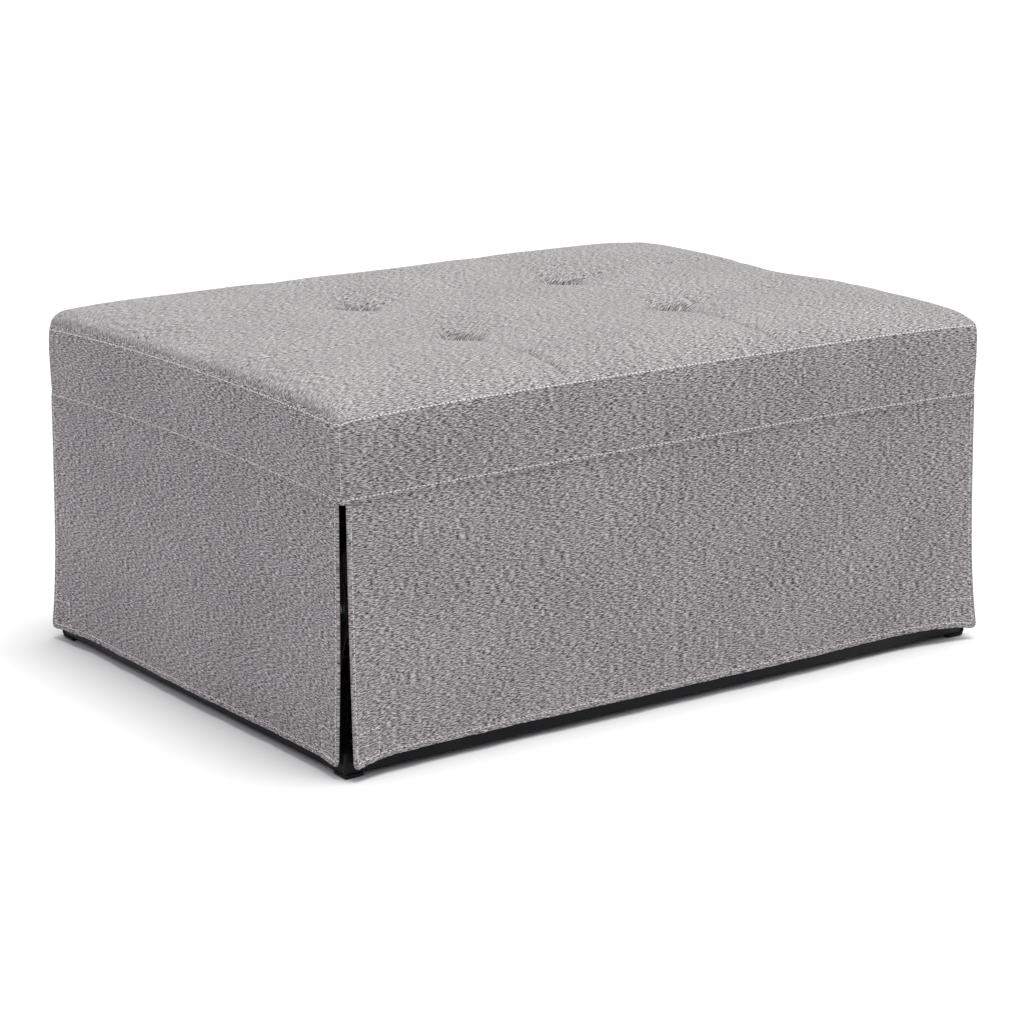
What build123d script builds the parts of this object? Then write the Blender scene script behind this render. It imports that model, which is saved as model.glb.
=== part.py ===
from build123d import *
from math import cos, radians, sin
import os

os.makedirs("parts", exist_ok=True)

# A guest bed that folds in three and stands under a cloth slip cover as an ottoman.
# Millimetres: X along the long side, Y from front to back, Z up, origin on the floor at the middle.

# Cover, measured at the seam round its top
cover_length = 972
cover_width = 693
cover_corner_radius = 12
pad_side_height = 31.1
band_depth = 95
fabric = 2
lining_thickness = 2
cover_gap = 0.3

# Outward bulge of the band at its lower edge, low down, high up and at the seam
band_edge_bulge = 2
band_low_bulge = 2.5
band_high_bulge = 3
band_high_drop = 17
band_fold_width = 7

# Crown of the top, as rise and run from the seam
crown_rise = 28
crown_run = 130
crown_steps = 7
crown_fullness_share = 0.4

# Blind tufts
tuft_spacing_x = cover_length / 3
tuft_spacing_y = cover_width / 3
tuft_depth = 30
tuft_reach = 104
tuft_pull_radius = 4
twine_radius = 1
anchor_radius = 14
anchor_thickness = 2

# Skirt of four hanging panels
skirt_fabric = 1.5
skirt_inset = 1
skirt_seam_gap = 0.3
skirt_corner_gap = 0.5
hem_height = 15
hem_middle_height = 22
hem_run = 50
flare = 9
flare_run = 120
top_ease_depth = 0.4
middle_bow = 3
fold_shares = ((0, 0), (0.35, 0.12), (0.7, 0.45), (1, 1))
patch_width = 34
patch_height = 33
patch_fabric = 1.5
patch_inset = 5
patch_rise = 5

# Ring of square tube on the floor
ring_clearance = 1.5
ring_length = cover_length - 2 * (skirt_inset + skirt_fabric + ring_clearance)
ring_width = cover_width - 2 * (skirt_inset + skirt_fabric + ring_clearance)
ring_tube = 25
ring_wall = 1.5
foot_height = 5
foot_chamfer = 2

# Decks: two side rails, two end rails and slats each
deck_side_gap = 13
deck_width = ring_length - 2 * deck_side_gap
rail_width = 20
rail_height = 30
rail_wall = 1.2
slat_width = 20
slat_height = 10
slat_wall = 0.8
slat_count = 5
base_deck_height = 105
base_deck_setback = 28.5
base_deck_back = cover_width / 2 - base_deck_setback
upright_tube = 20
upright_wall = 1.2
upright_count = 3

# Mattresses
mattress_side_gap = 9
mattress_width = deck_width - 2 * (rail_width + mattress_side_gap)
mattress_thickness = 62
mattress_corner_radius = 30
mattress_edge_radius = 12
ticking = 1.5
base_mattress_inset = 6
base_mattress_back = base_deck_back - base_mattress_inset
tape_width = 20
tape_thickness = 1
tape_tail_length = 40

# Folding: the pivots' setbacks from the seam, and the gaps of the closed stack
front_pivot_setback = 21.5
back_pivot_setback = 56.5
mattress_gap = 1
deck_gap = 1.6
mattress_end_gap = 2
deck_end_gap = 14

# Hinges
ear_thickness = 3
ear_gap = 1
ear_root = 50
front_ear_radius = 14
back_ear_radius = 12
bolt_radius = 4
bolt_head_radius = 6.5
bolt_head_height = 4
nut_height = 6.5
washer_radius = 8
fit_clearance = 0.05
running_gap = 0.3

# Legs
leg_radius = 9.5
leg_wall = 1.5
leg_side_gap = 2
leg_tail = 9
leg_foot_height = 6
leg_spigot = 15
crossbar_radius = 8
crossbar_wall = 1.2
crossbar_reach = 75
joint_leg_setback = 90
end_leg_setback = 53
pin_head_radius = 7
pin_head_height = 3
spacer_radius = 6

overrun = 5

# Levels of the closed stack, from the floor up
ring_top = foot_height + ring_tube
base_deck_top = base_deck_height + rail_height
base_mattress_top = base_deck_top + mattress_thickness
middle_mattress_bottom = base_mattress_top + mattress_gap
middle_deck_bottom = middle_mattress_bottom + mattress_thickness
middle_deck_top = middle_deck_bottom + rail_height
top_deck_bottom = middle_deck_top + deck_gap
top_deck_top = top_deck_bottom + rail_height
top_mattress_top = top_deck_top + mattress_thickness
lining_bottom = top_mattress_top + cover_gap
lining_top = lining_bottom + lining_thickness
seam_height = lining_top + pad_side_height
band_bottom = seam_height - band_depth

# Pivots and ends of the sections along Y
front_pivot_y = front_pivot_setback - cover_width / 2
back_pivot_y = cover_width / 2 - back_pivot_setback
front_pivot_z = base_mattress_top + mattress_gap / 2
back_pivot_z = middle_deck_top + deck_gap / 2
mattress_front = front_pivot_y + mattress_end_gap
mattress_back = back_pivot_y - mattress_end_gap
deck_front = front_pivot_y + deck_end_gap
deck_back = back_pivot_y - deck_end_gap
rail_outer = deck_width / 2
rail_inner = rail_outer - rail_width
rail_centre = rail_outer - rail_width / 2

# Legs lie in the part of each deck that the slats leave free
leg_depth = (rail_height - slat_height) / 2
leg_length = base_deck_height + leg_depth
leg_centre = rail_inner - leg_side_gap - leg_radius
joint_leg_y = back_pivot_y - joint_leg_setback
joint_leg_z = middle_deck_top - leg_depth
end_leg_y = front_pivot_y + end_leg_setback
end_leg_z = top_deck_bottom + leg_depth


def save(builder, name):
    """Label a finished piece and write it to its own file."""
    builder.part.label = name
    export_step(builder.part, f"parts/{name}.step")


# Ring on the floor: four mitred lengths of square tube
def ring_rail(length, width):
    """A length of tube along X with mitred ends, its outer face at -width / 2."""
    with BuildPart() as rail:
        with BuildSketch(Plane.YZ.offset(-length / 2)):
            with Locations(((ring_tube - width) / 2, foot_height + ring_tube / 2)):
                Rectangle(ring_tube, ring_tube)
                Rectangle(ring_tube - 2 * ring_wall, ring_tube - 2 * ring_wall, mode=Mode.SUBTRACT)
        extrude(amount=length)
        with BuildSketch(Plane.XY.offset(foot_height)):
            with BuildLine():
                Polyline(
                    (-length / 2, -width / 2),
                    (length / 2, -width / 2),
                    (length / 2 - ring_tube, ring_tube - width / 2),
                    (ring_tube - length / 2, ring_tube - width / 2),
                    close=True,
                )
            make_face()
        extrude(amount=ring_tube, mode=Mode.INTERSECT)
    return rail.part


long_rail = ring_rail(ring_length, ring_width)
short_rail = ring_rail(ring_width, ring_length)
for name, rail, turn in (
    ("front_bottom_rail", long_rail, 0),
    ("right_bottom_rail", short_rail, 90),
    ("back_bottom_rail", long_rail, 180),
    ("left_bottom_rail", short_rail, 270),
):
    with BuildPart() as bottom_rail:
        add(rail, rotation=(0, 0, turn))
    save(bottom_rail, name)

# Pads under the ring's corners
with BuildPart() as foot_pads:
    with BuildSketch():
        with GridLocations(ring_length - ring_tube, ring_width - ring_tube, 2, 2):
            Rectangle(ring_tube, ring_tube)
    extrude(amount=foot_height)
    chamfer(foot_pads.edges().group_by(Axis.Z)[0], foot_chamfer)
save(foot_pads, "foot_pads")

# Uprights that stand on the ring's side rails and carry the base deck
upright_x = (ring_length - 2 * ring_tube + upright_tube) / 2
upright_y_middle = (deck_front + base_deck_back) / 2
upright_span = base_deck_back - deck_front - upright_tube
with BuildPart() as base_uprights:
    with BuildSketch(Plane.XY.offset(ring_top)):
        with Locations((0, upright_y_middle)):
            with GridLocations(2 * upright_x, upright_span / (upright_count - 1), 2, upright_count):
                Rectangle(upright_tube, upright_tube)
                Rectangle(
                    upright_tube - 2 * upright_wall, upright_tube - 2 * upright_wall, mode=Mode.SUBTRACT
                )
    extrude(amount=base_deck_height - ring_top)
save(base_uprights, "base_uprights")


def slat_pitch(front, back):
    """The slats' spacing in a deck, even between its end rails."""
    return (back - front - 2 * rail_width) / (slat_count + 1)


# Decks: name, front end, back end, underside, height of the slats' underside, pivot of its leg
decks = (
    ("base", deck_front, base_deck_back, base_deck_height, base_deck_top - slat_height, None),
    ("middle", deck_front, deck_back, middle_deck_bottom, middle_deck_bottom, (joint_leg_y, joint_leg_z)),
    ("top", deck_front, deck_back, top_deck_bottom, top_deck_top - slat_height, (end_leg_y, end_leg_z)),
)
for section, front, back, bottom, slat_bottom, leg_pivot in decks:
    rail_z = bottom + rail_height / 2

    with BuildPart() as side_rails:
        with BuildSketch(Plane.XZ.offset(-back)):
            with Locations((-rail_centre, rail_z), (rail_centre, rail_z)):
                Rectangle(rail_width, rail_height)
                Rectangle(rail_width - 2 * rail_wall, rail_height - 2 * rail_wall, mode=Mode.SUBTRACT)
        extrude(amount=back - front)
        if leg_pivot:
            with BuildSketch(Plane.YZ):
                with Locations(leg_pivot):
                    Circle(bolt_radius + fit_clearance)
            extrude(amount=deck_width, both=True, mode=Mode.SUBTRACT)
    save(side_rails, f"{section}_side_rails")

    with BuildPart() as end_rails:
        with BuildSketch(Plane.YZ.offset(-rail_inner)):
            with Locations((front + rail_width / 2, rail_z), (back - rail_width / 2, rail_z)):
                Rectangle(rail_width, rail_height)
                Rectangle(rail_width - 2 * rail_wall, rail_height - 2 * rail_wall, mode=Mode.SUBTRACT)
        extrude(amount=2 * rail_inner)
    save(end_rails, f"{section}_end_rails")

    with BuildPart() as slats:
        with BuildSketch(Plane.YZ.offset(-rail_inner)):
            with Locations(((front + back) / 2, slat_bottom + slat_height / 2)):
                with GridLocations(slat_pitch(front, back), 0, slat_count, 1):
                    Rectangle(slat_width, slat_height)
                    Rectangle(slat_width - 2 * slat_wall, slat_height - 2 * slat_wall, mode=Mode.SUBTRACT)
        extrude(amount=2 * rail_inner)
    save(slats, f"{section}_slats")


# Mattresses: a ticking round a foam core, tied to the deck's side rails with tape
def mattress_form(front, back, bottom, inset):
    """A mattress block with round corners and edges, drawn in by inset on every side."""
    with BuildPart() as form:
        with BuildSketch(Plane.XY.offset(bottom + inset)):
            with Locations((0, (front + back) / 2)):
                RectangleRounded(
                    mattress_width - 2 * inset, back - front - 2 * inset, mattress_corner_radius - inset
                )
        extrude(amount=mattress_thickness - 2 * inset)
        top_and_bottom = form.edges().group_by(Axis.Z)[0] + form.edges().group_by(Axis.Z)[-1]
        fillet(top_and_bottom, mattress_edge_radius - inset)
    return form.part


# Name, back end, back end of its deck, underside, face where deck and mattress meet, the mattress's
# side of it, and how many slat pitches its tapes stand from the middle, so that those of two decks
# that lie together miss each other
mattresses = (
    ("base", base_mattress_back, base_deck_back, base_deck_top, base_deck_top, 1, 1.5),
    ("middle", mattress_back, deck_back, middle_mattress_bottom, middle_deck_bottom, -1, 1.5),
    ("top", mattress_back, deck_back, top_deck_top, top_deck_top, 1, 0.5),
)
for section, back, rail_back, bottom, meeting, side, tape_pitches in mattresses:
    core = mattress_form(mattress_front, back, bottom, ticking)

    with BuildPart() as mattress_core:
        add(core)
    save(mattress_core, f"{section}_mattress_core")

    with BuildPart() as mattress_ticking:
        add(mattress_form(mattress_front, back, bottom, 0))
        add(core, mode=Mode.SUBTRACT)
    save(mattress_ticking, f"{section}_mattress_ticking")

    # A loop of tape round the side rail, a web beside the rail and a tail sewn to the mattress's side
    web_run = rail_inner - mattress_width / 2
    tape_middle = (deck_front + rail_back) / 2
    tape_shift = tape_pitches * slat_pitch(deck_front, rail_back)
    with BuildPart() as mattress_tapes:
        for tape_y in (tape_middle - tape_shift, tape_middle + tape_shift):
            with BuildSketch(Plane.XZ.offset(-tape_y - tape_width / 2)):
                with Locations((rail_centre, meeting - side * rail_height / 2)):
                    Rectangle(rail_width + 2 * tape_thickness, rail_height + 2 * tape_thickness)
                    Rectangle(rail_width, rail_height, mode=Mode.SUBTRACT)
                with Locations((rail_inner - web_run / 2, meeting + side * tape_thickness / 2)):
                    Rectangle(web_run, tape_thickness)
                tail_x = mattress_width / 2 + tape_thickness / 2
                with Locations((tail_x, meeting + side * tape_tail_length / 2)):
                    Rectangle(tape_thickness, tape_tail_length)
            extrude(amount=tape_width)
        mirror(about=Plane.YZ)
    save(mattress_tapes, f"{section}_mattress_tapes")

# Hinges: the parent's ears lie against its rails, and the child's ears lie outside them on a root pad
inner_ear_x = rail_outer
outer_ear_x = inner_ear_x + ear_thickness + ear_gap


def hinge_ears(face, pivot, radius, root_end, root_bottom, root_pad):
    """Two plates from a rail's end to a pivot, with a pad of root_pad between each plate and its rail."""
    away = 1 if root_end > pivot[0] else -1
    root = (root_end + away * ear_root / 2, root_bottom + rail_height / 2)
    level = abs(pivot[1] - root[1]) < rail_height
    with BuildPart() as ears:
        with BuildSketch(Plane.YZ.offset(face)):
            with Locations(pivot):
                Circle(radius)
            with Locations(root):
                Rectangle(ear_root, rail_height)
            if level:
                with Locations(((pivot[0] + root_end) / 2, root[1])):
                    Rectangle(abs(pivot[0] - root_end), rail_height)
            else:
                make_hull()
            with Locations(pivot):
                Circle(bolt_radius + fit_clearance, mode=Mode.SUBTRACT)
        extrude(amount=ear_thickness)
        if root_pad:
            with BuildSketch(Plane.YZ.offset(face - root_pad)):
                with Locations(root):
                    Rectangle(ear_root, rail_height)
            extrude(amount=root_pad)
        mirror(about=Plane.YZ)
    return ears.part


front_pivot = (front_pivot_y, front_pivot_z)
back_pivot = (back_pivot_y, back_pivot_z)
root_pad = outer_ear_x - inner_ear_x
for name, face, pivot, radius, root_end, root_bottom, pad in (
    ("base_hinge_ears", inner_ear_x, front_pivot, front_ear_radius, deck_front, base_deck_height, 0),
    ("middle_front_ears", outer_ear_x, front_pivot, front_ear_radius, deck_front, middle_deck_bottom, root_pad),
    ("middle_back_ears", inner_ear_x, back_pivot, back_ear_radius, deck_back, middle_deck_bottom, 0),
    ("top_hinge_ears", outer_ear_x, back_pivot, back_ear_radius, deck_back, top_deck_bottom, root_pad),
):
    with BuildPart() as hinge_pair:
        add(hinge_ears(face, pivot, radius, root_end, root_bottom, pad))
    save(hinge_pair, name)

# Hinge bolts: a nut inside, a washer between the ears and a head outside
washer_thickness = ear_gap - running_gap
bolt_end = outer_ear_x + ear_thickness + running_gap
for name, pivot in (("front_hinge_bolts", front_pivot), ("back_hinge_bolts", back_pivot)):
    with BuildPart() as hinge_bolts:
        with BuildSketch(Plane.YZ.offset(inner_ear_x - nut_height)):
            with Locations(pivot):
                RegularPolygon(bolt_head_radius, 6)
        extrude(amount=nut_height)
        with BuildSketch(Plane.YZ.offset(inner_ear_x)):
            with Locations(pivot):
                Circle(bolt_radius)
        extrude(amount=bolt_end - inner_ear_x)
        with BuildSketch(Plane.YZ.offset(inner_ear_x + ear_thickness)):
            with Locations(pivot):
                Circle(washer_radius)
        extrude(amount=washer_thickness)
        with BuildSketch(Plane.YZ.offset(bolt_end)):
            with Locations(pivot):
                Circle(bolt_head_radius)
        extrude(amount=bolt_head_height)
        chamfer(hinge_bolts.edges().group_by(Axis.X)[-1], bolt_head_height / 4)
        mirror(about=Plane.YZ)
    save(hinge_bolts, name)

# Legs: a U of two side tubes and a crossbar, on pins through the deck's side rails
# Name, pivot, and the way that the folded leg points along Y
legs = (
    ("joint_leg", (joint_leg_y, joint_leg_z), -1),
    ("end_leg", (end_leg_y, end_leg_z), 1),
)
for name, (pivot_y, pivot_z), way in legs:
    tail_y = pivot_y - way * leg_tail
    tube_end_y = pivot_y + way * (leg_length - leg_foot_height)
    crossbar_y = pivot_y + way * crossbar_reach
    tube_places = ((-leg_centre, pivot_z), (leg_centre, pivot_z))

    with BuildPart() as leg_tubes:
        with BuildSketch(Plane.XZ.offset(-tail_y)):
            with Locations(*tube_places):
                Circle(leg_radius)
                Circle(leg_radius - leg_wall, mode=Mode.SUBTRACT)
        extrude(amount=tail_y - tube_end_y)
        with BuildSketch(Plane.YZ):
            with Locations((pivot_y, pivot_z)):
                Circle(bolt_radius + fit_clearance)
        extrude(amount=deck_width, both=True, mode=Mode.SUBTRACT)
    save(leg_tubes, f"{name}_tubes")

    with BuildPart() as leg_crossbar:
        with BuildSketch(Plane.YZ.offset(-leg_centre)):
            with Locations((crossbar_y, pivot_z)):
                Circle(crossbar_radius)
                Circle(crossbar_radius - crossbar_wall, mode=Mode.SUBTRACT)
        extrude(amount=2 * leg_centre)
        with BuildSketch(Plane.XZ.offset(-crossbar_y)):
            with Locations(*tube_places):
                Circle(leg_radius)
        extrude(amount=2 * crossbar_radius, both=True, mode=Mode.SUBTRACT)
    save(leg_crossbar, f"{name}_crossbar")

    with BuildPart() as leg_feet:
        with BuildSketch(Plane.XZ.offset(-tube_end_y)):
            with Locations(*tube_places):
                Circle(leg_radius)
        extrude(amount=-way * leg_foot_height)
        with BuildSketch(Plane.XZ.offset(-tube_end_y)):
            with Locations(*tube_places):
                Circle(leg_radius - leg_wall)
        extrude(amount=way * leg_spigot)
    save(leg_feet, f"{name}_feet")

    head_x = leg_centre - leg_radius - running_gap - pin_head_height
    with BuildPart() as leg_pins:
        with BuildSketch(Plane.YZ.offset(head_x)):
            with Locations((pivot_y, pivot_z)):
                Circle(pin_head_radius)
        extrude(amount=pin_head_height)
        with BuildSketch(Plane.YZ.offset(head_x)):
            with Locations((pivot_y, pivot_z)):
                Circle(bolt_radius)
        extrude(amount=rail_outer - head_x)
        with BuildSketch(Plane.YZ.offset(leg_centre + leg_radius + running_gap)):
            with Locations((pivot_y, pivot_z)):
                Circle(spacer_radius)
        extrude(amount=leg_side_gap - running_gap)
        mirror(about=Plane.YZ)
    save(leg_pins, f"{name}_pins")


# Cover: a band of four sewn lengths, a crowned and tufted top panel, a foam pad and a lining
def side_form(inset):
    """The cover's boxy part from the band's lower edge to the seam, drawn in by inset."""
    levels = (
        (band_bottom, band_edge_bulge),
        (band_bottom + band_depth / 4, band_low_bulge),
        (seam_height - band_high_drop, band_high_bulge),
        (seam_height, 0),
    )
    with BuildPart() as form:
        for height, bulge in levels:
            with BuildSketch(Plane.XY.offset(height)):
                RectangleRounded(
                    cover_length + 2 * (bulge - inset),
                    cover_width + 2 * (bulge - inset),
                    cover_corner_radius - inset,
                )
        loft()
    return form.part


def crown_form(inset):
    """The crowned block above the seam, drawn in and down by inset: a full quarter round in steps."""
    with BuildPart() as form:
        for step in range(crown_steps + 1):
            angle = radians(90 * step / crown_steps)
            rise_share = sin(angle) ** crown_fullness_share
            drawn_in = inset + crown_run * (1 - cos(angle))
            with BuildSketch(Plane.XY.offset(seam_height + rise_share * (crown_rise - inset))):
                RectangleRounded(
                    cover_length - 2 * drawn_in,
                    cover_width - 2 * drawn_in,
                    cover_corner_radius - 2 * inset + drawn_in,
                )
        loft(ruled=True)
    return form.part


def tuft_dimple(drop):
    """The hollow over one tuft, drop below the outer face: a round pinch that rises to the crown."""
    top = seam_height + crown_rise - drop
    with BuildPart() as dimple:
        with BuildSketch(Plane.XZ):
            with BuildLine():
                TangentArc((tuft_reach, top), (tuft_pull_radius, top - tuft_depth), tangent=(-1, 0))
                Polyline(
                    (tuft_pull_radius, top - tuft_depth),
                    (0, top - tuft_depth),
                    (0, top + overrun),
                    (tuft_reach, top + overrun),
                    (tuft_reach, top),
                )
            make_face()
        revolve(axis=Axis.Z)
    return dimple.part


tuft_bottom = seam_height + crown_rise - fabric - tuft_depth
anchor_top = lining_top + anchor_thickness

with BuildPart() as cover_lining:
    add(side_form(fabric))
    split(bisect_by=Plane.XY.offset(lining_bottom), keep=Keep.TOP)
    split(bisect_by=Plane.XY.offset(lining_top), keep=Keep.BOTTOM)
save(cover_lining, "cover_lining")

with BuildPart() as tuft_anchors:
    with BuildSketch(Plane.XY.offset(lining_top)):
        with GridLocations(tuft_spacing_x, tuft_spacing_y, 2, 2):
            Circle(anchor_radius)
    extrude(amount=anchor_thickness)
save(tuft_anchors, "tuft_anchors")

with BuildPart() as tuft_twines:
    with BuildSketch(Plane.XY.offset(anchor_top)):
        with GridLocations(tuft_spacing_x, tuft_spacing_y, 2, 2):
            Circle(twine_radius)
    extrude(amount=tuft_bottom - anchor_top)
save(tuft_twines, "tuft_twines")

pad_dimple = tuft_dimple(fabric)
with BuildPart() as cover_pad:
    add(side_form(fabric))
    split(bisect_by=Plane.XY.offset(lining_top), keep=Keep.TOP)
    add(crown_form(fabric))
    with GridLocations(tuft_spacing_x, tuft_spacing_y, 2, 2):
        add(pad_dimple, mode=Mode.SUBTRACT)
    add(tuft_anchors.part, mode=Mode.SUBTRACT)
    add(tuft_twines.part, mode=Mode.SUBTRACT)
save(cover_pad, "cover_pad")

skin_dimple = tuft_dimple(0)
inner_crown = crown_form(fabric)
with BuildPart() as cover_top_panel:
    add(crown_form(0))
    with GridLocations(tuft_spacing_x, tuft_spacing_y, 2, 2):
        add(skin_dimple, mode=Mode.SUBTRACT)
    with BuildPart(mode=Mode.PRIVATE) as pad_crown:
        add(inner_crown)
        with GridLocations(tuft_spacing_x, tuft_spacing_y, 2, 2):
            add(pad_dimple, mode=Mode.SUBTRACT)
    add(pad_crown.part, mode=Mode.SUBTRACT)
save(cover_top_panel, "cover_top_panel")

# Band: one ring, its lower edge folded inward, cut at the corners where its four lengths are sewn
with BuildPart() as band_ring:
    add(side_form(0))
    add(side_form(fabric), mode=Mode.SUBTRACT)
    with BuildSketch(Plane.XY.offset(band_bottom)):
        RectangleRounded(
            cover_length + 2 * band_edge_bulge, cover_width + 2 * band_edge_bulge, cover_corner_radius
        )
        RectangleRounded(
            cover_length + 2 * (band_edge_bulge - band_fold_width),
            cover_width + 2 * (band_edge_bulge - band_fold_width),
            cover_corner_radius - band_fold_width,
            mode=Mode.SUBTRACT,
        )
    extrude(amount=fabric)

band_reach = band_high_bulge + overrun
band_wedge = 2 * (band_fold_width + cover_corner_radius)
for name, turn, length, width in (
    ("front_band", 0, cover_length, cover_width),
    ("right_band", 90, cover_width, cover_length),
    ("back_band", 180, cover_length, cover_width),
    ("left_band", 270, cover_width, cover_length),
):
    with BuildPart() as band:
        add(band_ring.part)
        with BuildSketch(Plane.XY.rotated((0, 0, turn)).offset(band_bottom)):
            with BuildLine():
                Polyline(
                    (-length / 2 - band_reach, -width / 2 - band_reach),
                    (length / 2 + band_reach, -width / 2 - band_reach),
                    (length / 2 - band_wedge, band_wedge - width / 2),
                    (band_wedge - length / 2, band_wedge - width / 2),
                    close=True,
                )
            make_face()
        extrude(amount=band_depth, mode=Mode.INTERSECT)
    save(band, name)


# Skirt: four hanging panels that stand off at their lower corners, each with two sewn squares
def hanging_panel(turn, half_length, face, thickness):
    """A hanging sheet whose flat outer face lies at -face, turned about the part's middle."""
    plane = Plane.XY.rotated((0, 0, turn))
    skirt_top = band_bottom - skirt_seam_gap
    with BuildPart() as panel:
        for drop_share, fold_share in fold_shares:
            height = skirt_top - drop_share * (skirt_top - hem_height)
            ease = top_ease_depth + fold_share * (flare - top_ease_depth)
            bow = top_ease_depth + fold_share * (middle_bow - top_ease_depth)
            straight = half_length - flare_run
            with BuildSketch(plane.offset(height)):
                with BuildLine():
                    for side, way in ((-face, 1), (thickness - face, -1)):
                        corner, knee = way * half_length, way * straight
                        ThreePointArc(
                            (-corner, side - ease),
                            (-(corner + knee) / 2, side - ease / 4),
                            (-knee, side),
                        )
                        ThreePointArc((-knee, side), (0, side - bow), (knee, side))
                        ThreePointArc(
                            (knee, side),
                            ((corner + knee) / 2, side - ease / 4),
                            (corner, side - ease),
                        )
                    Line((half_length, -face - ease), (half_length, thickness - face - ease))
                    Line((-half_length, thickness - face - ease), (-half_length, -face - ease))
                make_face()
        loft()
    return panel.part


skirt_face_x = cover_length / 2 - skirt_inset
skirt_face_y = cover_width / 2 - skirt_inset
patch_bottom = hem_height + patch_rise
for name, turn, half_length, face in (
    ("front_skirt", 0, skirt_face_x - skirt_fabric - skirt_corner_gap, skirt_face_y),
    ("right_skirt", 90, skirt_face_y - skirt_fabric - skirt_corner_gap, skirt_face_x),
    ("back_skirt", 180, skirt_face_x - skirt_fabric - skirt_corner_gap, skirt_face_y),
    ("left_skirt", 270, skirt_face_y - skirt_fabric - skirt_corner_gap, skirt_face_x),
):
    flat_plane = Plane.XY.rotated((0, 0, turn))
    upright_plane = Plane(origin=(0, 0, 0), x_dir=flat_plane.x_dir, z_dir=-flat_plane.y_dir)
    reach = face + flare + overrun

    # The hem is lowest at the corners and rises to its middle height
    with BuildPart() as skirt:
        add(hanging_panel(turn, half_length, face, skirt_fabric))
        with BuildSketch(upright_plane):
            with BuildLine():
                Polyline(
                    (half_length, hem_height),
                    (half_length - hem_run, hem_middle_height),
                    (hem_run - half_length, hem_middle_height),
                    (-half_length, hem_height),
                    (-half_length, hem_height - overrun),
                    (half_length, hem_height - overrun),
                    close=True,
                )
            make_face()
        extrude(amount=reach, mode=Mode.SUBTRACT)
    save(skirt, name)

    with BuildPart() as skirt_patches:
        add(hanging_panel(turn, half_length, face - skirt_fabric, patch_fabric))
        with BuildSketch(upright_plane):
            with Locations((0, patch_bottom + patch_height / 2)):
                with GridLocations(2 * (half_length - patch_inset) - patch_width, 0, 2, 1):
                    Rectangle(patch_width, patch_height)
        extrude(amount=reach, mode=Mode.INTERSECT)
    save(skirt_patches, f"{name}_patches")

print("front pivot", front_pivot, "back pivot", back_pivot)
print("joint leg pivot", (joint_leg_y, joint_leg_z), "end leg pivot", (end_leg_y, end_leg_z))
print("leg length", leg_length, "crown top", seam_height + crown_rise)
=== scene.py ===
from math import pi, radians
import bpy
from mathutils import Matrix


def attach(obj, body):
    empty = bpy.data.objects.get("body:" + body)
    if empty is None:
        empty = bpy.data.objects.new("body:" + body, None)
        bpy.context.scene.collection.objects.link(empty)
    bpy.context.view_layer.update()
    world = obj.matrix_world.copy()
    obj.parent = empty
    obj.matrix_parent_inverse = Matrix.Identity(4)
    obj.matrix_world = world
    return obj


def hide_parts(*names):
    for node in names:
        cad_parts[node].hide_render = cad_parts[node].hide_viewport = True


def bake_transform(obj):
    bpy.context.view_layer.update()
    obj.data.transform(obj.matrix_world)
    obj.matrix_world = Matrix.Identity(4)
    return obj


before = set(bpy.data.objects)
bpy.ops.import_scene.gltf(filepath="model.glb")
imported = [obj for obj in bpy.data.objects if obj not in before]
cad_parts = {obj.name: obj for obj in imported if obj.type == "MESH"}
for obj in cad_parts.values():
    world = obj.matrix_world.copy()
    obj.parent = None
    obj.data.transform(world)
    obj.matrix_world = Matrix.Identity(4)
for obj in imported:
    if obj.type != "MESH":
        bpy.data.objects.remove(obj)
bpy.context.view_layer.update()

from types import SimpleNamespace as Panel

import bpy
import numpy as np
from mathutils import Vector
from mathutils.bvhtree import BVHTree

# Camera: off the near left corner and a little above the top, as in the photograph,
# with a long lens.
camera_place = Vector((-2.1768, -3.0137, 1.1339))
camera_aim = Vector((-0.0716, -0.0958, 0.2))
camera = bpy.data.objects.new("camera", bpy.data.cameras.new("camera"))
camera.data.sensor_width = 36
camera.data.lens = 103.74
camera.location = camera_place
camera.rotation_euler = (camera_aim - camera_place).to_track_quat("-Z", "Y").to_euler()
bpy.context.collection.objects.link(camera)
bpy.context.scene.camera = camera
bpy.context.scene.view_settings.view_transform = "Standard"


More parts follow.
